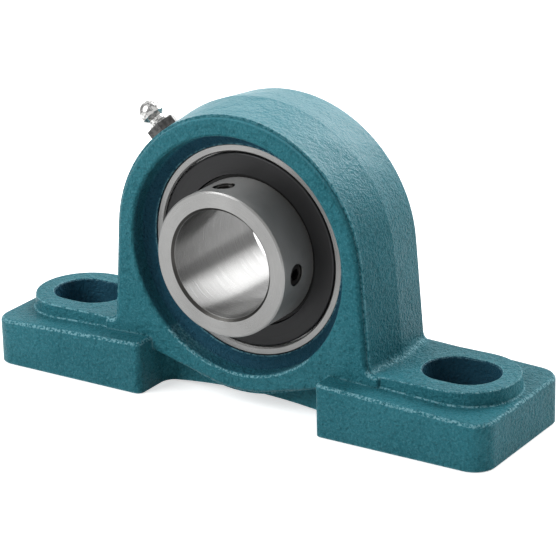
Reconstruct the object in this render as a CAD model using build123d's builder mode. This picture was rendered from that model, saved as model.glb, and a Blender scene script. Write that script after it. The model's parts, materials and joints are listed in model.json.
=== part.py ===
from build123d import *
import math
import os

# Millimetres. The shaft runs along Y, the set-screw end looks along -Y and the feet stand on Z = 0.

# Bearing insert
shaft_bore = 30.0
collar_wall = 5.15
ball_diameter = 9.525
ball_count = 9
inner_shoulder_height = 1.9125
outer_shoulder_height = 1.95
outer_ring_wall = 3.2375
race_conformity = 0.52
race_clearance = 0.05
collar_front = 22.2
collar_rear = 15.9
bore_chamfer = 0.8
collar_chamfer = 0.4
outer_edge_chamfer = 0.4

# Housing: feet, with the recesses between them and the web that joins them
foot_width = 44.0
foot_end_height = 13.0
foot_inner_height = 15.0
foot_corner_radius = 6.0
foot_edge_radius = 1.3
slot_width = 17.0
slot_length = 21.4
slot_from_barrel = 20.1
slot_end_wall = 7.8
slot_edge_chamfer = 0.4
recess_inset = 12.2
web_thickness = 18.0
recess_mouth_radius = 2.0
recess_corner_radius = 3.0
web_arch_rise = 2.2

# Housing: raised pads round the bolt slots
pad_height = 17.4
pad_side_wall = 5.9
pad_end_wall = 5.2
pad_draft = 6.0
pad_edge_radius = 0.45
pad_root_radius = 0.6

# Housing: drafted barrel round the bearing
barrel_wall = 7.2
barrel_ground_gap = 2.5
barrel_width = 31.0
barrel_draft = 6.0
barrel_leg_spread = 2.1
leg_end_height = 1.6
barrel_foot_sink = 1.0
barrel_root_radius = 2.6
root_end_width = 1.4
root_end_radius = 1.2
rim_drop = 2.2
rim_width = 1.6
rim_edge_radius = 1.3

# Housing: openings at both faces, ball seat and loading notches
opening_gap = 2.2
opening_floor_gap = 0.4
opening_corner_radius = 2.2
opening_edge_radius = 1.0
seat_clearance = 0.02
notch_side_gap = 0.3
notch_depth = 0.2

# Grease path
grease_offset = 5.0
grease_groove_width = 2.0
grease_groove_depth = 0.7
grease_hole_diameter = 1.5
grease_duct_diameter = 2.6

# Ribbon cage and its rivets
cage_sheet = 0.7
cage_land_gap = 1.15
pocket_clearance = 0.15
rivet_diameter = 1.3
rivet_head_diameter = 2.2
rivet_head_height = 0.45
rivet_clearance = 0.02

# Seals and flingers, front and rear alike
seal_seat_step = 1.6
seal_shoulder_gap = 0.2875
seal_plate_sheet = 0.6
seal_plate_gap = 1.25
seal_rubber_thickness = 0.5
seal_rubber_edge = 0.4
seal_lip_depth = 0.5
seal_lip_gap = 0.07
flinger_gap = 0.3
flinger_recess = 0.1
flinger_sheet = 0.7
flinger_edge_gap = 0.3
flinger_hub_width = 0.8
flinger_step_run = 0.3
flinger_step_depth = 0.9
flinger_bend_radius = 0.5

# Set screws
screw_diameter = 6.0
screw_clearance = 0.05
screw_bore_gap = 0.3
screw_top_gap = 0.55
screw_from_face = 6.0
screw_angles = (-3.0, 96.0)
socket_size = 3.0
socket_floor = 1.7
screw_point_chamfer = 0.8
screw_top_chamfer = 0.3

# Grease nipple
nipple_angle = 135.0
nipple_seat_sink = 0.67
nipple_spot_diameter = 11.0
nipple_thread_diameter = 6.0
nipple_thread_clearance = 0.05
nipple_thread_length = 5.5
nipple_tap_runout = 1.0
nipple_hex_size = 8.0
nipple_hex_height = 3.0
nipple_shoulder_diameter = 6.2
nipple_shoulder_height = 0.8
nipple_neck_diameter = 4.4
nipple_neck_height = 1.2
nipple_head_diameter = 6.6
nipple_head_band = 1.4
nipple_dome_height = 2.7
nipple_tip_diameter = 2.8
nipple_chamber_diameter = 2.6
nipple_orifice_diameter = 1.5
nipple_chamber_top_wall = 0.6
nipple_chamber_length = 6.0
check_ball_diameter = 2.0
check_ball_seat_gap = 0.05
spring_wire_diameter = 0.25
spring_coil_diameter = 1.7
spring_turns = 5
spring_end_gap = 0.05

# Bearing radii, from the bore outwards
land_radius = shaft_bore / 2 + collar_wall
ball_radius = ball_diameter / 2
pitch_radius = land_radius + ball_radius - inner_shoulder_height
race_radius = race_conformity * ball_diameter
outer_land_radius = pitch_radius + ball_radius - outer_shoulder_height
outer_radius = pitch_radius + ball_radius + outer_ring_wall
seal_seat_radius = outer_land_radius + seal_seat_step
seal_plate_bore = land_radius + seal_plate_gap

# Bearing faces, from the middle plane outwards
pocket_radius = ball_radius + pocket_clearance
pocket_outside = pocket_radius + cage_sheet
seal_shoulder = pocket_outside + seal_shoulder_gap
rubber_from = seal_shoulder + seal_plate_sheet
flinger_rim_end = rubber_from + seal_rubber_thickness + flinger_gap
flinger_hub_face = flinger_rim_end + flinger_sheet
flinger_disc_face = flinger_hub_face + flinger_step_depth
outer_half = flinger_disc_face + flinger_recess
outer_width = 2 * outer_half

# Set screws
screw_y = -collar_front + screw_from_face
screw_tip = shaft_bore / 2 + screw_bore_gap
screw_length = land_radius - screw_top_gap - screw_tip
screw_radius = screw_diameter / 2 - screw_clearance
socket_depth = screw_length - socket_floor

# Housing sizes that follow from the bearing
seat_radius = outer_radius + seat_clearance
seat_half = outer_half + opening_floor_gap
opening_radius = outer_radius + opening_gap
barrel_radius = opening_radius + barrel_wall
barrel_half = barrel_width / 2
rim_radius = barrel_radius - rim_drop
shaft_height = barrel_radius + barrel_ground_gap
slot_x = barrel_radius + slot_from_barrel
foot_length = 2 * slot_x + slot_length + 2 * slot_end_wall
recess_length = 2 * (barrel_radius - recess_inset)
pad_width = slot_width + 2 * pad_side_wall
pad_length = 2 * slot_x + slot_length + 2 * pad_end_wall
nipple_tap_depth = nipple_thread_length + nipple_tap_runout
nipple_seat_radius = barrel_radius - grease_offset * math.tan(math.radians(barrel_draft)) - nipple_seat_sink

shaft_axis = Axis((0, 0, shaft_height), (0, 1, 0))
# Half section of the bearing: local x is the radius and local y runs towards the front.
section = Plane(origin=(0, 0, shaft_height), x_dir=(0, 0, 1), z_dir=(1, 0, 0))
# Face-on plane through the middle of the bearing, its normal towards the front.
middle = Plane(origin=(0, 0, shaft_height), x_dir=(1, 0, 0), z_dir=(0, -1, 0))


def radial_plane(angle, y, radius):
    """Plane square to a radius of the shaft, at an angle from +X towards +Z."""
    turn = math.radians(angle)
    outward = Vector(math.cos(turn), 0, math.sin(turn))
    return Plane(origin=Vector(0, y, shaft_height) + outward * radius, x_dir=(0, 1, 0), z_dir=outward)


# Barrel: a plain rim at both faces, and a body drafted both ways from the middle plane between them
rim_foot = foot_inner_height - barrel_foot_sink
rim_leg_width = 2 * (rim_radius + barrel_leg_spread)
rim_root_width = rim_leg_width + 2 * (barrel_root_radius + root_end_width)
root_strip = (pad_height + foot_inner_height) / 2 - shaft_height
shoulder_depth = barrel_half - rim_width
shoulder_radius = barrel_radius - shoulder_depth * math.tan(math.radians(barrel_draft))
with BuildPart() as barrel:
    # The legs of the rim sink into the sloping foot tops, and their roots turn down in front of the pads
    with BuildSketch(middle) as rim:
        Circle(rim_radius)
        with Locations((0, rim_foot + leg_end_height / 2 - shaft_height)):
            Rectangle(rim_leg_width, leg_end_height)
        make_hull()
        with Locations((0, (pad_height + rim_foot) / 2 - shaft_height)):
            Rectangle(rim_root_width, pad_height - rim_foot)
        root_tops = rim.vertices().filter_by(lambda v: abs(v.Y + shaft_height - pad_height) < 0.01)
        fillet(root_tops.filter_by(lambda v: abs(v.X) < rim_leg_width / 2 + 0.1), barrel_root_radius)
        root_ends = rim.vertices().filter_by(lambda v: abs(abs(v.X) - rim_root_width / 2) < 0.01)
        fillet(root_ends.filter_by(lambda v: v.Y + shaft_height > pad_height - 0.01), root_end_radius)
    extrude(amount=barrel_half, both=True)
    rim_edges = barrel.faces().filter_by(Axis.Y).edges()
    fillet(rim_edges.filter_by(lambda e: abs(e.center().Z - rim_foot) > 0.01), rim_edge_radius)

    # The body's legs spread to the pads and end in a root radius on them
    for side in (1, -1):
        for depth, radius in ((0, barrel_radius), (shoulder_depth, shoulder_radius)):
            with BuildSketch(middle.offset(side * depth)) as arch:
                Circle(radius)
                leg_width = 2 * (radius + barrel_leg_spread)
                with Locations((0, root_strip)):
                    Rectangle(leg_width, pad_height - foot_inner_height)
                make_hull()
                with Locations((0, root_strip)):
                    Rectangle(leg_width + 4 * barrel_root_radius, pad_height - foot_inner_height)
                roots = arch.vertices().filter_by(lambda v: abs(v.Y + shaft_height - pad_height) < 0.01)
                fillet(roots.filter_by(lambda v: abs(v.X) < leg_width / 2 + 0.1), barrel_root_radius)
        loft(ruled=True)

# Housing: foot with recesses, seen from above
recess_depth = (foot_width - web_thickness) / 2
with BuildPart() as housing:
    with BuildSketch() as foot_plan:
        Rectangle(foot_length, foot_width)
        fillet(foot_plan.vertices(), foot_corner_radius)
        with Locations((0, foot_width / 2), (0, -foot_width / 2)):
            Rectangle(recess_length, 2 * recess_depth, mode=Mode.SUBTRACT)
        recess_corners = foot_plan.vertices().filter_by(lambda v: abs(abs(v.X) - recess_length / 2) < 0.01)
        fillet(recess_corners.filter_by(lambda v: abs(v.Y) > foot_width / 2 - 0.01), recess_mouth_radius)
        web_corners = foot_plan.vertices().filter_by(lambda v: abs(abs(v.Y) - web_thickness / 2) < 0.01)
        fillet(web_corners, recess_corner_radius)
    extrude(amount=foot_inner_height)

    # Foot seen from the front: tops that fall towards the ends and an arched web
    with BuildSketch(Plane.XZ):
        with BuildLine():
            end = foot_length / 2
            inside = recess_length / 2
            Polyline((-inside, 0), (-end, 0), (-end, foot_end_height), (-inside, foot_inner_height),
                     (inside, foot_inner_height), (end, foot_end_height), (end, 0), (inside, 0))
            ThreePointArc((inside, 0), (0, web_arch_rise), (-inside, 0))
        make_face()
    extrude(amount=foot_width, both=True, mode=Mode.INTERSECT)
    foot_tops = housing.faces().filter_by(lambda f: f.normal_at().Z > 0.9 and abs(f.center().X) > inside)
    fillet(foot_tops.edges().filter_by(lambda e: abs(e.center().X) > inside + 1), foot_edge_radius)

    # Raised pad along both feet
    with BuildSketch(Plane.XY.offset(pad_height)):
        SlotOverall(pad_length, pad_width)
    extrude(amount=foot_end_height - pad_height, taper=-pad_draft)
    pad_top = housing.faces().sort_by(Axis.Z)[-1]
    fillet(pad_top.edges(), pad_edge_radius)
    pad_roots = housing.edges().filter_by(lambda e: foot_end_height < e.center().Z < foot_inner_height)
    pad_roots = pad_roots.filter_by(lambda e: e.length > slot_width / 2)
    pad_roots = pad_roots.filter_by(lambda e: abs(e.center().Y) < pad_width / 2 + foot_edge_radius)
    pad_roots = pad_roots.filter_by(lambda e: abs(e.center().X) < pad_length / 2 + foot_edge_radius)
    fillet(pad_roots, pad_root_radius)

    add(barrel.part)

    # Openings at both faces, then the ball seat between them
    with BuildSketch(section) as opening:
        opening_depth = barrel_half - seat_half
        with Locations((0, seat_half + opening_depth / 2), (0, -seat_half - opening_depth / 2)):
            Rectangle(opening_radius, opening_depth, align=(Align.MIN, Align.CENTER))
        floor_corners = opening.vertices().filter_by(lambda v: abs(abs(v.Y) - seat_half) < 0.01)
        fillet(floor_corners.filter_by(lambda v: v.X > 1), opening_corner_radius)
    revolve(axis=shaft_axis, mode=Mode.SUBTRACT)
    with Locations((0, 0, shaft_height)):
        Sphere(seat_radius, mode=Mode.SUBTRACT)
    mouths = housing.edges().filter_by(GeomType.CIRCLE).filter_by(lambda e: abs(e.radius - opening_radius) < 0.01)
    fillet(mouths.filter_by(lambda e: abs(abs(e.center().Y) - barrel_half) < 0.01), opening_edge_radius)

    # Loading notches in the rear half of the seat, where the insert goes in edge first
    with BuildSketch(middle):
        Circle(seat_radius + notch_depth)
        Rectangle(2 * outer_radius + 4 * notch_depth, outer_width + 2 * notch_side_gap, mode=Mode.INTERSECT)
    extrude(amount=-barrel_half, mode=Mode.SUBTRACT)

    # Bolt slots with broken edges
    with BuildSketch():
        with Locations((slot_x, 0), (-slot_x, 0)):
            SlotOverall(slot_length, slot_width)
    extrude(amount=pad_height, mode=Mode.SUBTRACT)
    slot_edges = housing.edges().filter_by(lambda e: e.center().Z < 0.01 or abs(e.center().Z - pad_height) < 0.01)
    slot_edges = slot_edges.filter_by(lambda e: abs(abs(e.center().X) - slot_x) < slot_length / 2)
    slot_edges = slot_edges.filter_by(lambda e: abs(e.center().Y) < slot_width / 2 + 0.1)
    chamfer(slot_edges, slot_edge_chamfer)

    # Spot face, tapped hole and duct for the grease nipple
    with BuildSketch(radial_plane(nipple_angle, -grease_offset, nipple_seat_radius)) as nipple_spot:
        Circle(nipple_spot_diameter / 2)
    extrude(amount=barrel_radius - nipple_seat_radius + 1, mode=Mode.SUBTRACT)
    with BuildSketch(nipple_spot.workplanes[0]):
        Circle(nipple_thread_diameter / 2)
    extrude(amount=-nipple_tap_depth, mode=Mode.SUBTRACT)
    with BuildSketch(nipple_spot.workplanes[0]):
        Circle(grease_duct_diameter / 2)
    extrude(amount=-(nipple_seat_radius - outer_radius + grease_offset), mode=Mode.SUBTRACT)

os.makedirs("parts", exist_ok=True)
housing.part.label = "housing"
export_step(housing.part, "parts/housing.step")

# Outer ring: ball-shaped outside, race and seal seats inside, grease groove with two holes
outer_race_centre = pitch_radius + ball_radius + race_clearance - race_radius
with BuildPart() as outer_ring:
    with BuildSketch(section) as outer_section:
        Circle(outer_radius)
        Rectangle(outer_radius, outer_width, align=(Align.MIN, Align.CENTER), mode=Mode.INTERSECT)
        Rectangle(outer_land_radius, outer_width, align=(Align.MIN, Align.CENTER), mode=Mode.SUBTRACT)
        with Locations((0, (outer_half + seal_shoulder) / 2), (0, -(outer_half + seal_shoulder) / 2)):
            Rectangle(seal_seat_radius, outer_half - seal_shoulder, align=(Align.MIN, Align.CENTER),
                      mode=Mode.SUBTRACT)
        chamfer(outer_section.vertices().filter_by(lambda v: abs(abs(v.Y) - outer_half) < 0.01), outer_edge_chamfer)
        with Locations((outer_race_centre, 0)):
            Circle(race_radius, mode=Mode.SUBTRACT)
        with Locations((outer_radius, grease_offset)):
            groove_reach = outer_radius - math.sqrt(outer_radius**2 - grease_offset**2) + grease_groove_depth
            Rectangle(2 * groove_reach, grease_groove_width, mode=Mode.SUBTRACT)
    revolve(axis=shaft_axis)
    with BuildSketch(radial_plane(nipple_angle, -grease_offset, 0)):
        Circle(grease_hole_diameter / 2)
    extrude(amount=outer_radius, both=True, mode=Mode.SUBTRACT)

outer_ring.part.label = "outer_ring"
export_step(outer_ring.part, "parts/outer_ring.step")

# Inner ring with its long collar towards the front
inner_race_centre = pitch_radius - ball_radius - race_clearance + race_radius
with BuildPart() as inner_ring:
    with BuildSketch(section) as inner_section:
        with Locations((0, (collar_front - collar_rear) / 2)):
            Rectangle(land_radius, collar_front + collar_rear, align=(Align.MIN, Align.CENTER))
            Rectangle(shaft_bore / 2, collar_front + collar_rear, align=(Align.MIN, Align.CENTER), mode=Mode.SUBTRACT)
        chamfer(inner_section.vertices().sort_by(Axis.X)[:2], bore_chamfer)
        chamfer(inner_section.vertices().sort_by(Axis.X)[-2:], collar_chamfer)
        with Locations((inner_race_centre, 0)):
            Circle(race_radius, mode=Mode.SUBTRACT)
    revolve(axis=shaft_axis)
    for angle in screw_angles:
        with BuildSketch(radial_plane(angle, screw_y, 0)):
            Circle(screw_diameter / 2)
        extrude(amount=outer_radius, mode=Mode.SUBTRACT)

inner_ring.part.label = "inner_ring"
export_step(inner_ring.part, "parts/inner_ring.step")

# Set screws: hexagon socket outside, point chamfered for the shaft
for number, angle in enumerate(screw_angles, 1):
    tip_plane = radial_plane(angle, screw_y, screw_tip)
    with BuildPart() as set_screw:
        with BuildSketch(tip_plane):
            Circle(screw_radius)
        extrude(amount=screw_length)
        ends = set_screw.edges().sort_by(Axis(tip_plane.origin, tip_plane.z_dir))
        chamfer(ends[0], screw_point_chamfer)
        chamfer(ends[-1], screw_top_chamfer)
        with BuildSketch(tip_plane.offset(screw_length)):
            RegularPolygon(socket_size / 2, 6, major_radius=False)
        extrude(amount=-socket_depth, mode=Mode.SUBTRACT)
    set_screw.part.label = f"set_screw_{number}"
    export_step(set_screw.part, f"parts/set_screw_{number}.step")

# Balls, spread evenly on the pitch circle from the top
ball_angles = [90 + number * 360 / ball_count for number in range(ball_count)]
for number, angle in enumerate(ball_angles, 1):
    with BuildPart(radial_plane(angle, 0, pitch_radius)) as ball:
        Sphere(ball_radius)
    ball.part.label = f"ball_{number}"
    export_step(ball.part, f"parts/ball_{number}.step")

# Ribbon cage: two pressed halves with ball pockets, flat between them where the rivets sit
half_step = 180 / ball_count
for side, name in ((1, "front"), (-1, "rear")):
    with BuildPart(middle) as cage:
        with BuildSketch(middle):
            Circle(pitch_radius + pocket_outside)
        extrude(amount=side * cage_sheet)
        with PolarLocations(pitch_radius, ball_count, start_angle=90):
            Sphere(pocket_outside)
            Sphere(pocket_radius, mode=Mode.SUBTRACT)
        with BuildSketch(middle):
            Circle(outer_land_radius - cage_land_gap)
            Circle(land_radius + cage_land_gap, mode=Mode.SUBTRACT)
        extrude(amount=side * pocket_outside, mode=Mode.INTERSECT)
        with BuildSketch(middle):
            with PolarLocations(pitch_radius, ball_count, start_angle=90 + half_step):
                Circle(rivet_diameter / 2 + rivet_clearance)
        extrude(amount=side * cage_sheet, mode=Mode.SUBTRACT)
    cage.part.label = f"cage_{name}"
    export_step(cage.part, f"parts/cage_{name}.step")

# Cage rivets with a flat round head at each end
with BuildPart(middle) as cage_rivets:
    with BuildSketch(middle):
        with PolarLocations(pitch_radius, ball_count, start_angle=90 + half_step):
            Circle(rivet_diameter / 2)
    extrude(amount=cage_sheet, both=True)
    for side in (1, -1):
        with BuildSketch(middle.offset(side * cage_sheet)):
            with PolarLocations(pitch_radius, ball_count, start_angle=90 + half_step):
                Circle(rivet_head_diameter / 2)
        extrude(amount=side * rivet_head_height)
    heads = cage_rivets.edges().filter_by(GeomType.CIRCLE)
    fillet(heads.filter_by(lambda e: abs(e.center().Y) > cage_sheet + rivet_head_height - 0.01), rivet_head_height / 2)
cage_rivets.part.label = "cage_rivets"
export_step(cage_rivets.part, "parts/cage_rivets.step")

# Seals and flingers at both sides of the balls
land_gap_radius = land_radius + seal_lip_gap
for side, name in ((1, "front"), (-1, "rear")):
    # Steel plate resting on the shoulder of the outer ring
    with BuildPart() as seal_plate:
        with BuildSketch(section):
            with Locations((seal_plate_bore, side * (seal_shoulder + seal_plate_sheet / 2))):
                Rectangle(seal_seat_radius - seal_plate_bore, seal_plate_sheet, align=(Align.MIN, Align.CENTER))
        revolve(axis=shaft_axis)
    seal_plate.part.label = f"seal_plate_{name}"
    export_step(seal_plate.part, f"parts/seal_plate_{name}.step")

    # Rubber washer bonded to the plate, thinned to a lip next to the inner ring
    with BuildPart() as seal:
        with BuildSketch(section) as seal_section:
            with BuildLine():
                Polyline((seal_seat_radius - seal_rubber_edge, side * rubber_from),
                         (seal_plate_bore, side * rubber_from),
                         (land_gap_radius, side * (rubber_from - seal_lip_depth)),
                         (land_gap_radius, side * (rubber_from - seal_lip_depth + seal_rubber_thickness)),
                         (seal_plate_bore, side * (rubber_from + seal_rubber_thickness)),
                         (seal_seat_radius - seal_rubber_edge, side * (rubber_from + seal_rubber_thickness)),
                         close=True)
            make_face()
        revolve(axis=shaft_axis)
    seal.part.label = f"seal_{name}"
    export_step(seal.part, f"parts/seal_{name}.step")

    # Pressed flinger: hub on the inner ring, disc over the seal, rim turned back towards it
    step_radius = land_radius + flinger_hub_width
    rim_outside = seal_seat_radius - flinger_edge_gap
    with BuildPart() as flinger:
        with BuildSketch(section) as flinger_section:
            with BuildLine():
                Polyline((land_radius, side * flinger_hub_face), (step_radius, side * flinger_hub_face),
                         (step_radius + flinger_step_run, side * flinger_disc_face),
                         (rim_outside, side * flinger_disc_face), (rim_outside, side * flinger_rim_end))
                offset(amount=flinger_sheet, side=Side.RIGHT if side > 0 else Side.LEFT, kind=Kind.INTERSECTION)
            make_face()
            outer_corners = flinger_section.vertices().filter_by(lambda v: abs(abs(v.Y) - flinger_disc_face) < 0.01)
            fillet(outer_corners.sort_by(Axis.X)[-1], flinger_bend_radius)
        revolve(axis=shaft_axis)
    flinger.part.label = f"flinger_{name}"
    export_step(flinger.part, f"parts/flinger_{name}.step")

# Grease nipple: screwed shank, hexagon, necked head with a ball valve inside
nipple_seat = radial_plane(nipple_angle, -grease_offset, nipple_seat_radius)
# Half section of the nipple: local x is its radius and local y its height above the seat.
nipple_section = Plane(origin=nipple_seat.origin, x_dir=nipple_seat.x_dir,
                       z_dir=nipple_seat.x_dir.cross(nipple_seat.z_dir))
nipple_axis = Axis(nipple_seat.origin, nipple_seat.z_dir)
neck_base = nipple_hex_height + nipple_shoulder_height
neck_top = neck_base + nipple_neck_height
band_base = neck_top + (nipple_head_diameter - nipple_neck_diameter) / 2
band_top = band_base + nipple_head_band
nipple_height = band_top + nipple_dome_height
chamber_top = nipple_height - nipple_chamber_top_wall
chamber_floor = chamber_top - nipple_chamber_length
shank_radius = nipple_thread_diameter / 2 - nipple_thread_clearance
with BuildPart() as grease_nipple:
    with BuildSketch(nipple_section) as nipple_profile:
        with BuildLine():
            Polyline((0, nipple_height), (0, -nipple_thread_length), (shank_radius, -nipple_thread_length),
                     (shank_radius, nipple_hex_height), (nipple_shoulder_diameter / 2, nipple_hex_height),
                     (nipple_shoulder_diameter / 2, neck_base), (nipple_neck_diameter / 2, neck_base),
                     (nipple_neck_diameter / 2, neck_top), (nipple_head_diameter / 2, band_base),
                     (nipple_head_diameter / 2, band_top))
            RadiusArc((nipple_head_diameter / 2, band_top), (nipple_tip_diameter / 2, nipple_height),
                      -nipple_head_diameter / 2)
            Line((nipple_tip_diameter / 2, nipple_height), (0, nipple_height))
        make_face()
    revolve(axis=nipple_axis)
    with BuildSketch(nipple_seat):
        RegularPolygon(nipple_hex_size / 2, 6, major_radius=False, rotation=30)
    extrude(amount=nipple_hex_height)
    with BuildSketch(nipple_seat.offset(chamber_floor)):
        Circle(nipple_chamber_diameter / 2)
    extrude(amount=nipple_chamber_length, mode=Mode.SUBTRACT)
    with BuildSketch(nipple_seat.offset(-nipple_thread_length)):
        Circle(nipple_orifice_diameter / 2)
    extrude(amount=nipple_thread_length + nipple_height, mode=Mode.SUBTRACT)
grease_nipple.part.label = "grease_nipple"
export_step(grease_nipple.part, "parts/grease_nipple.step")

# Check ball held just under the orifice by its spring
check_ball_radius = check_ball_diameter / 2
seat_drop = math.sqrt(check_ball_radius**2 - (nipple_orifice_diameter / 2) ** 2) + check_ball_seat_gap
check_ball_height = chamber_top - seat_drop
with BuildPart(nipple_seat.offset(check_ball_height)) as nipple_ball:
    Sphere(check_ball_radius)
nipple_ball.part.label = "nipple_ball"
export_step(nipple_ball.part, "parts/nipple_ball.step")

wire_radius = spring_wire_diameter / 2
coil_radius = spring_coil_diameter / 2
spring_bottom = chamber_floor + wire_radius + spring_end_gap
ball_reach = check_ball_radius + wire_radius + spring_end_gap
spring_top = check_ball_height - math.sqrt(ball_reach**2 - coil_radius**2)
spring_height = spring_top - spring_bottom
with BuildPart() as nipple_spring:
    with BuildLine():
        coil_start = nipple_seat.offset(spring_bottom).origin
        coil = Helix(spring_height / spring_turns, spring_height, coil_radius, center=coil_start,
                     direction=nipple_seat.z_dir)
    with BuildSketch(Plane(origin=coil @ 0, z_dir=coil % 0)):
        Circle(wire_radius)
    sweep()
nipple_spring.part.label = "nipple_spring"
export_step(nipple_spring.part, "parts/nipple_spring.step")
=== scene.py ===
import bpy
import json
import math
from mathutils import Matrix, Vector


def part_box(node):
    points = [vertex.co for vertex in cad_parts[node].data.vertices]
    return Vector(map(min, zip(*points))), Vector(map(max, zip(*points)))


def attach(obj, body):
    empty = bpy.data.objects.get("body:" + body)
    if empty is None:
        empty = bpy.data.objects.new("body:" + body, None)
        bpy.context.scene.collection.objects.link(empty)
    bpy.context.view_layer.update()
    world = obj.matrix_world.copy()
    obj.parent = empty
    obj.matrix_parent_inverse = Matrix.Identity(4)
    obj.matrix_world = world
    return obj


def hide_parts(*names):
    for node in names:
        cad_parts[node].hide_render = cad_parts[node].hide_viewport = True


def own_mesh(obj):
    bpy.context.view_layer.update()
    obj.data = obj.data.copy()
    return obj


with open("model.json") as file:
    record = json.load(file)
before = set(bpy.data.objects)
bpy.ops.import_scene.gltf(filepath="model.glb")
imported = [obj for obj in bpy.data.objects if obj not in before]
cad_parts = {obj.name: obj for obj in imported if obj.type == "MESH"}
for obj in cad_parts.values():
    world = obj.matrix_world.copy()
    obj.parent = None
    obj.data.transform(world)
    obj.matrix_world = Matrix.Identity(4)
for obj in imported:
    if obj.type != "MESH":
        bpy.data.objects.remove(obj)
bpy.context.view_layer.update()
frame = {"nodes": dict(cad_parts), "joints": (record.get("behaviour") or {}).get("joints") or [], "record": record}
nodes = frame["nodes"]
joints = {joint["name"]: joint for joint in frame["joints"]}
mounts = {mount["name"]: mount["dims"] for mount in frame["record"]["mounts"]}
MM_PER_METRE = 1000.0

# Camera fitted to the photograph's outlines, with the insert standing square; the picture is 560 pixels square
FOCAL_PIXELS, PICTURE = 2612.427, 560
YAW, PITCH, ROLL = 33.342, 20.433, -1.447
CAMERA_SHIFT = (-0.003616, 0.003225, 0.708174)
LOOK_HEIGHT = 0.035
SENSOR_WIDTH, CLIP_NEAR, CLIP_FAR = 36, 0.01, 20

# Places on the object: the shaft height in metres, the rest in millimetres
SHAFT_HEIGHT = joints["shaft_spin"]["pos_m"][2]
BORE_RADIUS, CHAMFER = mounts["shaft_bore"]["r_mm"], 0.8
COLLAR_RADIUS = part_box("inner_ring")[1][0] * MM_PER_METRE
SLOT_X, SLOT_RADIUS = mounts["foot_bolts"]["spacing_x_mm"] / 2, mounts["foot_bolts"]["hole_r_mm"]
SLOT_STRAIGHT = mounts["foot_bolts"]["slot_length_mm"] - 2 * SLOT_RADIUS
OPENING_RADIUS, HUB_RADIUS, HEXAGON_TOP, FOOT_TOP = 33.2, 21.15, 42.2, 18.0

# Paint: colours, noise scales per millimetre, how strongly each layer shows, and bump depths in metres
TEAL, TEAL_LIGHT = (0.024, 0.150, 0.186), (0.032, 0.176, 0.216)
TEAL_THIN, TEAL_PIT = (0.060, 0.245, 0.292), (0.008, 0.078, 0.100)
# The first colour is painted shade for the hollows, the second a painted highlight for the edges
TEAL_PAINTED_SHADE, TEAL_EDGE_HIGHLIGHT = (0.017, 0.070, 0.114), (0.230, 0.480, 0.550)
# Painted sheen, lighter, for the top of the barrel
TEAL_PAINTED_SHEEN = (0.038, 0.245, 0.305)
PEBBLE_SCALE, FINE_SCALE, SPECK_SCALE, SWELL_SCALE, TINT_SCALE = 1.0, 1.7, 1.5, 0.16, 0.06
THIN_SHARE, PIT_SHARE, HOLLOW_SHADE_SHARE = 0.55, 0.45, 0.9
EDGE_HIGHLIGHT_SHARE, SPECK_HIGHLIGHT_SHARE, SHEEN_PAINT_SHARE, COAT_SHARE = 0.60, 0.8, 0.7, 0.45
EDGE_RADIUS, PEBBLE_DEPTH, SWELL_DEPTH = 0.0009, 0.0012, 0.0010
GLOSS_AND_SHEEN_START, GLOSS_AND_SHEEN_FULL = 8, 34

# Metals: colours, and bump depths in metres
# The second colour is painted shade for the chamfers and screw holes, and the factor after it painted shade for the
# bore
RING_STEEL, STEEL_PAINTED_SHADE, BORE_PAINTED_SHADE = (0.26, 0.26, 0.257), (0.045, 0.044, 0.042), 0.62
# The second colour is painted shade for the flinger's hub step
FLINGER_DARK, HUB_PAINTED_SHADE = (0.019, 0.019, 0.020), (0.003, 0.003, 0.003)
# The last colour is a painted dark reflection for the nipple's hexagon
ZINC, ZINC_DARK, HEXAGON_PAINTED_REFLECTION = (0.58, 0.58, 0.57), (0.13, 0.13, 0.13), (0.030, 0.030, 0.030)
TURNED_DEPTH, GRAIN_DEPTH, MARKS_PER_RADIAN = 0.00002, 0.00003, 1.5

# Studio: distance of the lamps in metres, how bright the sky, the background and the floor look
LAMP_DISTANCE, SKY_STRENGTH, SEEN_STRENGTH, FLOOR_GLOW = 1.0, 0.25, 1.0, 0.62
FLOOR_HALF, FLOOR_DROP = 4, 0.0002


def direction(azimuth, elevation):
    """Unit vector from the object; azimuth 0 is the front and a right angle is the right side."""
    return Vector((math.sin(azimuth) * math.cos(elevation), -math.cos(azimuth) * math.cos(elevation),
                   math.sin(elevation)))


def make_camera():
    """Places the fitted camera: it looks along minus back, and the shift moves the picture's middle."""
    yaw, pitch, roll = (math.radians(a) for a in (YAW, PITCH, ROLL))
    back = direction(yaw, pitch)
    level = Vector((math.cos(yaw), math.sin(yaw), 0))
    upward = back.cross(level)
    right = level * math.cos(roll) + upward * math.sin(roll)
    up = upward * math.cos(roll) - level * math.sin(roll)
    x, y, z = CAMERA_SHIFT
    place = Vector((0, 0, LOOK_HEIGHT)) + back * z - right * x - up * y
    data = bpy.data.cameras.new("camera")
    data.sensor_width = SENSOR_WIDTH
    data.lens = FOCAL_PIXELS / PICTURE * data.sensor_width
    data.clip_start, data.clip_end = CLIP_NEAR, CLIP_FAR
    camera = bpy.data.objects.new("camera", data)
    camera.matrix_world = Matrix.Translation(place) @ Matrix((right, up, back)).transposed().to_4x4()
    bpy.context.scene.collection.objects.link(camera)
    bpy.context.scene.camera = camera


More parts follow.
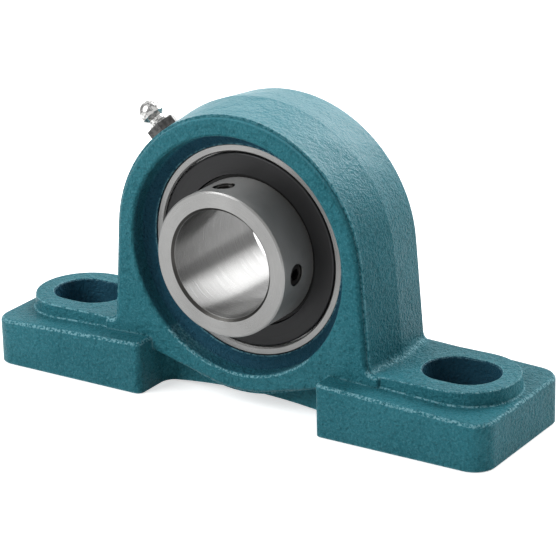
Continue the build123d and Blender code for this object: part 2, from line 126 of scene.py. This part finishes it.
class Shader:
    """A material with one Principled shader and short ways to add nodes to it."""

    def __init__(self, name, colour=(0.5, 0.5, 0.5), metallic=0.0, roughness=0.5, **sockets):
        self.material = bpy.data.materials.new(name)
        self.material.use_nodes = True
        self.tree = self.material.node_tree
        self.bsdf = self.tree.nodes["Principled BSDF"]
        self.bsdf.inputs["Base Color"].default_value = (*colour, 1)
        self.bsdf.inputs["Metallic"].default_value = metallic
        self.bsdf.inputs["Roughness"].default_value = roughness
        for socket, value in sockets.items():
            self.bsdf.inputs[socket.replace("_", " ")].default_value = value

    def add(self, kind, settings=None, **inputs):
        node = self.tree.nodes.new(kind)
        for key, value in (settings or {}).items():
            setattr(node, key, value)
        for key, value in inputs.items():
            self.put(node, key, value)
        return node

    def put(self, node, key, value):
        """Sets or links one input, given by its name or, as i0, i1 and so on, by its place."""
        by_place = key[0] == "i" and key[1:].isdigit()
        socket = node.inputs[int(key[1:]) if by_place else key.replace("_", " ")]
        if isinstance(value, bpy.types.NodeSocket):
            self.tree.links.new(value, socket)
        else:
            socket.default_value = value

    def millimetres(self):
        place = self.add("ShaderNodeTexCoord").outputs["Object"]
        return self.add("ShaderNodeVectorMath", {"operation": "SCALE"}, i0=place,
                        Scale=MM_PER_METRE).outputs[0]

    def noise(self, place, scale, detail=2.0, roughness=0.5, distortion=0.0):
        node = self.add("ShaderNodeTexNoise", Vector=place, Scale=scale, Detail=detail, Roughness=roughness,
                        Distortion=distortion)
        return node.outputs["Fac"]

    def spread(self, value, low, high, to_low=0.0, to_high=1.0):
        """Smooth step from to_low at low to to_high at high."""
        node = self.add("ShaderNodeMapRange", {"interpolation_type": "SMOOTHSTEP"}, Value=value)
        for key, number in (("From Min", low), ("From Max", high), ("To Min", to_low), ("To Max", to_high)):
            node.inputs[key].default_value = number
        return node.outputs[0]

    def fall(self, value, low, high):
        """Smooth step from one at low down to zero at high."""
        return self.spread(value, low, high, 1.0, 0.0)

    def math(self, operation, a, b=0.0):
        return self.add("ShaderNodeMath", {"operation": operation}, i0=a, i1=b).outputs[0]

    def times(self, first, *others):
        for other in others:
            first = self.math("MULTIPLY", first, other)
        return first

    def length(self, a, b):
        return self.math("SQRT", self.math("ADD", self.times(a, a), self.times(b, b)))

    def mix(self, amount, a, b):
        node = self.add("ShaderNodeMix", {"data_type": "RGBA"})
        self.put(node, "i0", amount)
        self.put(node, "i6", a if isinstance(a, bpy.types.NodeSocket) else (*a, 1))
        self.put(node, "i7", b if isinstance(b, bpy.types.NodeSocket) else (*b, 1))
        return node.outputs[2]

    def bump(self, height, distance, strength=1.0, below=None):
        node = self.add("ShaderNodeBump", Height=height)
        node.inputs["Distance"].default_value = distance
        node.inputs["Strength"].default_value = strength
        if below is not None:
            self.tree.links.new(below, node.inputs["Normal"])
        return node.outputs[0]

    def feed(self, **inputs):
        for key, value in inputs.items():
            self.put(self.bsdf, key, value)
        return self.material


def radius_from_shaft(s, place):
    """Distance from the shaft axis in millimetres, the turn round it and the place along it."""
    x, y, height = s.add("ShaderNodeSeparateXYZ", i0=place).outputs
    z = s.math("SUBTRACT", height, SHAFT_HEIGHT * MM_PER_METRE)
    return s.length(x, z), s.math("ARCTAN2", z, x), y


def paint():
    """Sprayed teal enamel over a sand casting: pebbled skin, painted shade making the hollows bluer and darker, painted
    highlights lightening the edges, and a painted sheen over the top of the barrel.
    """
    s = Shader("housing_paint", colour=TEAL, roughness=0.32, Specular_IOR_Level=0.05, Coat_Roughness=0.30)
    place = s.millimetres()
    across, along, height = s.add("ShaderNodeSeparateXYZ", i0=place).outputs
    radius = radius_from_shaft(s, place)[0]
    pebbles = s.noise(place, PEBBLE_SCALE, 3.0, 0.65)
    fine = s.noise(place, FINE_SCALE, 2.0, 0.6)
    colour = s.mix(s.spread(s.noise(place, TINT_SCALE, 3.0, 0.6), 0.35, 0.65), TEAL, TEAL_LIGHT)
    colour = s.mix(s.spread(fine, 0.45, 0.68, 0.0, THIN_SHARE), colour, TEAL_THIN)
    colour = s.mix(s.spread(pebbles, 0.34, 0.50, PIT_SHARE, 0.0), colour, TEAL_PIT)

    # Painted shade: the opening round the insert and the bolt slots are made bluer and darker
    in_opening = s.fall(radius, OPENING_RADIUS - 0.3, OPENING_RADIUS + 0.3)
    from_slot = s.math("ABSOLUTE", s.math("SUBTRACT", s.math("ABSOLUTE", across), SLOT_X))
    past_straight = s.math("MAXIMUM", s.math("SUBTRACT", from_slot, SLOT_STRAIGHT / 2), 0.0)
    in_slot = s.fall(s.length(past_straight, along), SLOT_RADIUS + 0.1, SLOT_RADIUS + 0.4)
    hollow = s.math("MAXIMUM", in_opening, in_slot)
    colour = s.mix(s.times(hollow, HOLLOW_SHADE_SHARE), colour, TEAL_PAINTED_SHADE)

    # Painted highlight on the rounded edges, broken up by the pebbles
    rounded = s.add("ShaderNodeBevel", {"samples": 6}, Radius=EDGE_RADIUS).outputs[0]
    flat = s.add("ShaderNodeNewGeometry").outputs["Normal"]
    bend = s.add("ShaderNodeVectorMath", {"operation": "DOT_PRODUCT"}, i0=rounded, i1=flat).outputs["Value"]
    edge = s.times(s.fall(bend, 0.88, 0.99), s.spread(pebbles, 0.40, 0.58))
    colour = s.mix(s.times(edge, EDGE_HIGHLIGHT_SHARE), colour, TEAL_EDGE_HIGHLIGHT)

    # Painted highlight on the up-facing rounded upper edges of the feet, as broken light specks
    facing = s.add("ShaderNodeSeparateXYZ", i0=flat).outputs
    slope, endways = facing[2], s.math("ABSOLUTE", facing[1])
    sloping = s.times(s.spread(slope, 0.15, 0.45), s.fall(slope, 0.82, 0.97))
    on_foot = s.fall(height, FOOT_TOP, FOOT_TOP + 1.0)
    upper_edge = s.times(sloping, on_foot, s.math("SUBTRACT", 1.0, hollow))
    specks = s.spread(s.noise(place, SPECK_SCALE, 2.0, 0.6), 0.42, 0.60)
    colour = s.mix(s.times(upper_edge, specks, SPECK_HIGHLIGHT_SHARE), colour, TEAL_EDGE_HIGHLIGHT)

    # The paint has a thicker, glossier coat over the top of the barrel, and its colour is lightened there as a painted
    # sheen
    shaft = SHAFT_HEIGHT * MM_PER_METRE
    gloss_and_painted_sheen = s.times(s.spread(height, shaft + GLOSS_AND_SHEEN_START, shaft + GLOSS_AND_SHEEN_FULL), s.fall(endways, 0.4, 0.8))
    colour = s.mix(s.times(gloss_and_painted_sheen, SHEEN_PAINT_SHARE), colour, TEAL_PAINTED_SHEEN)

    skin = s.math("ADD", s.times(pebbles, 0.65), s.times(fine, 0.35))
    skin = s.times(skin, s.spread(gloss_and_painted_sheen, 0.0, 1.0, 1.0, 0.5))
    swell = s.bump(s.noise(place, SWELL_SCALE, 2.0, 0.5), SWELL_DEPTH, 0.8)
    normal = s.bump(skin, PEBBLE_DEPTH, 1.0, swell)
    return s.feed(Base_Color=colour, Roughness=s.spread(pebbles, 0.3, 0.7, 0.38, 0.27),
                  Coat_Weight=s.times(gloss_and_painted_sheen, COAT_SHARE), Coat_Normal=normal, Normal=normal)


def lathe_marks(s, place, pitch):
    """Fine turned lines: the same along the turn, changing with the radius and along the shaft."""
    radius, turn, y = radius_from_shaft(s, place)
    lines = s.add("ShaderNodeCombineXYZ", i0=s.times(radius, pitch), i1=s.times(y, pitch),
                  i2=s.times(turn, MARKS_PER_RADIAN)).outputs[0]
    return s.noise(lines, 1.0, 2.0, 0.6), radius, y


def turned_steel(name, colour, roughness):
    """Ground bearing steel, with painted shade darkening the turned chamfers at the bore, the screw holes and the bore.
    """
    s = Shader(name, colour=colour, metallic=1.0, roughness=roughness, Anisotropic=0.8, Anisotropic_Rotation=0.25)
    place = s.millimetres()
    marks, radius, y = lathe_marks(s, place, 6.0)
    tone = s.noise(place, 0.15, 2.0, 0.5)
    shade = s.mix(s.spread(tone, 0.3, 0.7), tuple(c * 0.93 for c in colour), colour)
    # Painted shade, nearly black, on the chamfers and on the walls of the screw holes between the two faces
    front_face, rear_face = (corner[1] * MM_PER_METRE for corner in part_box("inner_ring"))
    past_bore = s.spread(radius, BORE_RADIUS + 0.04, BORE_RADIUS + 0.10)
    in_chamfer = s.fall(radius, BORE_RADIUS + CHAMFER - 0.06, BORE_RADIUS + CHAMFER)
    under_collar = s.fall(radius, COLLAR_RADIUS - 0.30, COLLAR_RADIUS - 0.20)
    between = s.times(s.spread(y, front_face + 0.3, front_face + 0.4), s.fall(y, rear_face - 0.4, rear_face - 0.3))
    in_hole = s.times(under_collar, between)
    shade = s.mix(s.times(past_bore, s.math("MAXIMUM", in_chamfer, in_hole)), shade, STEEL_PAINTED_SHADE)
    # The bore is ground smooth and darkened a little as painted shade; the outside of the collar is rougher
    marked = s.spread(radius, BORE_RADIUS + 0.02, BORE_RADIUS + 0.08, 0.12, 1.0)
    shade = s.mix(s.math("SUBTRACT", 1.0, marked), shade, tuple(c * BORE_PAINTED_SHADE for c in colour))
    on_collar = s.times(s.spread(radius, COLLAR_RADIUS - 0.12, COLLAR_RADIUS - 0.04),
                        s.fall(radius, COLLAR_RADIUS + 0.05, COLLAR_RADIUS + 0.15))
    rough = s.math("ADD", s.spread(marks, 0.3, 0.7, roughness * 0.85, roughness * 1.2), s.times(on_collar, 0.15))
    return s.feed(Base_Color=shade, Roughness=rough, Normal=s.bump(s.times(marks, marked), TURNED_DEPTH),
                  Tangent=s.add("ShaderNodeTangent", {"direction_type": "RADIAL", "axis": "Y"}).outputs[0])


def flinger_steel():
    """Dark oiled steel disc; the recessed hub step next to the collar is painted nearly black as painted shade."""
    s = Shader("flinger_steel", colour=FLINGER_DARK, metallic=0.6, roughness=0.42)
    marks, radius, _ = lathe_marks(s, s.millimetres(), 5.0)
    # Painted shade: the hub step next to the collar is nearly black
    shade = s.mix(s.fall(radius, HUB_RADIUS - 0.15, HUB_RADIUS + 0.15), FLINGER_DARK, HUB_PAINTED_SHADE)
    return s.feed(Base_Color=shade, Roughness=s.spread(marks, 0.3, 0.7, 0.36, 0.48),
                  Normal=s.bump(marks, TURNED_DEPTH))


def plain_metal(name, colour, roughness):
    """Metal with a slow change of roughness."""
    s = Shader(name, colour=colour, metallic=1.0, roughness=roughness)
    grains = s.noise(s.millimetres(), 0.4, 3.0, 0.6)
    return s.feed(Roughness=s.spread(grains, 0.3, 0.7, roughness * 0.85, roughness * 1.2),
                  Normal=s.bump(grains, TURNED_DEPTH))


def nipple_plate():
    """Bright zinc plate on the head and neck, with darker patches; the hexagon is painted near black as a painted dark
    reflection.
    """
    s = Shader("nipple_plate", colour=ZINC, metallic=1.0, roughness=0.16)
    place = s.millimetres()
    radius = radius_from_shaft(s, place)[0]
    patches = s.noise(place, 0.9, 3.0, 0.6, 0.6)
    shade = s.mix(s.spread(patches, 0.46, 0.58, 0.0, 0.85), ZINC, ZINC_DARK)
    # Painted dark reflection: the hexagon is nearly black
    shade = s.mix(s.spread(radius, HEXAGON_TOP - 0.1, HEXAGON_TOP + 0.1, 0.9, 0.0), shade, HEXAGON_PAINTED_REFLECTION)
    return s.feed(Base_Color=shade, Roughness=s.spread(patches, 0.3, 0.7, 0.12, 0.26),
                  Normal=s.bump(s.noise(place, 2.0), GRAIN_DEPTH))


def rubber():
    """Matt black rubber with a fine grain."""
    s = Shader("seal_rubber", colour=(0.012, 0.012, 0.013), roughness=0.55)
    return s.feed(Normal=s.bump(s.noise(s.millimetres(), 2.0), GRAIN_DEPTH))


def seen_rays(tree):
    """One for camera, glossy and transmission rays, so that metal shows the pale surroundings too."""
    rays = tree.nodes.new("ShaderNodeLightPath")
    total = rays.outputs["Is Camera Ray"]
    for kind in ("Is Glossy Ray", "Is Transmission Ray"):
        either = tree.nodes.new("ShaderNodeMath")
        either.operation = "MAXIMUM"
        tree.links.new(total, either.inputs[0])
        tree.links.new(rays.outputs[kind], either.inputs[1])
        total = either.outputs[0]
    return total


def floor_material():
    """Pale matt floor that the camera sees near white, with the object's shadow on it."""
    s = Shader("floor", colour=(0.85, 0.85, 0.85), roughness=0.95, Specular_IOR_Level=0.0)
    shown = s.add("ShaderNodeEmission", Strength=FLOOR_GLOW)
    both = s.add("ShaderNodeAddShader")
    s.tree.links.new(s.bsdf.outputs[0], both.inputs[0])
    s.tree.links.new(shown.outputs[0], both.inputs[1])
    choose = s.add("ShaderNodeMixShader")
    s.tree.links.new(seen_rays(s.tree), choose.inputs[0])
    s.tree.links.new(s.bsdf.outputs[0], choose.inputs[1])
    s.tree.links.new(both.outputs[0], choose.inputs[2])
    s.tree.links.new(choose.outputs[0], s.tree.nodes["Material Output"].inputs["Surface"])
    return s.material


materials = {
    "housing_paint": paint(),
    "ring_steel": turned_steel("ring_steel", RING_STEEL, 0.30),
    "pressed_steel": plain_metal("pressed_steel", (0.50, 0.50, 0.50), 0.35),
    "seal_rubber": rubber(),
    "flinger_steel": flinger_steel(),
    "screw_steel": plain_metal("screw_steel", (0.09, 0.085, 0.08), 0.35),
    "nipple_plate": nipple_plate(),
    "polished_steel": plain_metal("polished_steel", (0.75, 0.75, 0.76), 0.12),
}
slot_of = {part["node"]: part["material_slot"] for part in frame["record"]["subparts"]}
for name, node in nodes.items():
    node.data.materials.clear()
    node.data.materials.append(materials[slot_of[name]])


def valve_spring():
    """Copy of the spring in the grease nipple, with its own mesh, attached to the housing in place of the hidden
    original.
    """
    node = nodes["nipple_spring"]
    piece = bpy.data.objects.new("valve_spring", node.data.copy())
    bpy.context.scene.collection.objects.link(piece)
    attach(piece, "housing")
    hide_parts("nipple_spring")
    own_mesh(piece)


def studio_light(name, azimuth, elevation, size, watts):
    """Square soft box aimed at the shaft's middle; angles in degrees, azimuth 0 is the front and 90 the right."""
    place = direction(math.radians(azimuth), math.radians(elevation)) * LAMP_DISTANCE
    data = bpy.data.lights.new(name, "AREA")
    data.shape = "RECTANGLE"
    data.size = data.size_y = size
    data.energy = watts
    light = bpy.data.objects.new(name, data)
    light.location = place
    light.rotation_mode = "QUATERNION"
    light.rotation_quaternion = (Vector((0, 0, SHAFT_HEIGHT)) - place).to_track_quat("-Z", "Y")
    bpy.context.scene.collection.objects.link(light)


valve_spring()
make_camera()
studio_light("back", 168, 36, 0.7, 10.0)
studio_light("back_left", 210, 28, 0.5, 1.0)
studio_light("top", 180, 66, 0.5, 1.6)
studio_light("front_left", 322, 38, 0.6, 7.2)

floor_mesh = bpy.data.meshes.new("floor")
corners = [(-FLOOR_HALF, -FLOOR_HALF, 0), (FLOOR_HALF, -FLOOR_HALF, 0),
           (FLOOR_HALF, FLOOR_HALF, 0), (-FLOOR_HALF, FLOOR_HALF, 0)]
floor_mesh.from_pydata(corners, [], [(0, 1, 2, 3)])
floor = bpy.data.objects.new("floor", floor_mesh)
floor.location.z = -FLOOR_DROP
floor_mesh.materials.append(floor_material())
bpy.context.scene.collection.objects.link(floor)

world = bpy.data.worlds.new("world")
bpy.context.scene.world = world
world.use_nodes = True
tree = world.node_tree
sky = tree.nodes["Background"]
sky.inputs["Color"].default_value = (1, 1, 1, 1)
sky.inputs["Strength"].default_value = SKY_STRENGTH
seen = tree.nodes.new("ShaderNodeBackground")
seen.inputs["Color"].default_value = (1, 1, 1, 1)
seen.inputs["Strength"].default_value = SEEN_STRENGTH
choose = tree.nodes.new("ShaderNodeMixShader")
tree.links.new(seen_rays(tree), choose.inputs[0])
tree.links.new(sky.outputs[0], choose.inputs[1])
tree.links.new(seen.outputs[0], choose.inputs[2])
tree.links.new(choose.outputs[0], tree.nodes["World Output"].inputs["Surface"])

bpy.context.scene.view_settings.view_transform = "Standard"
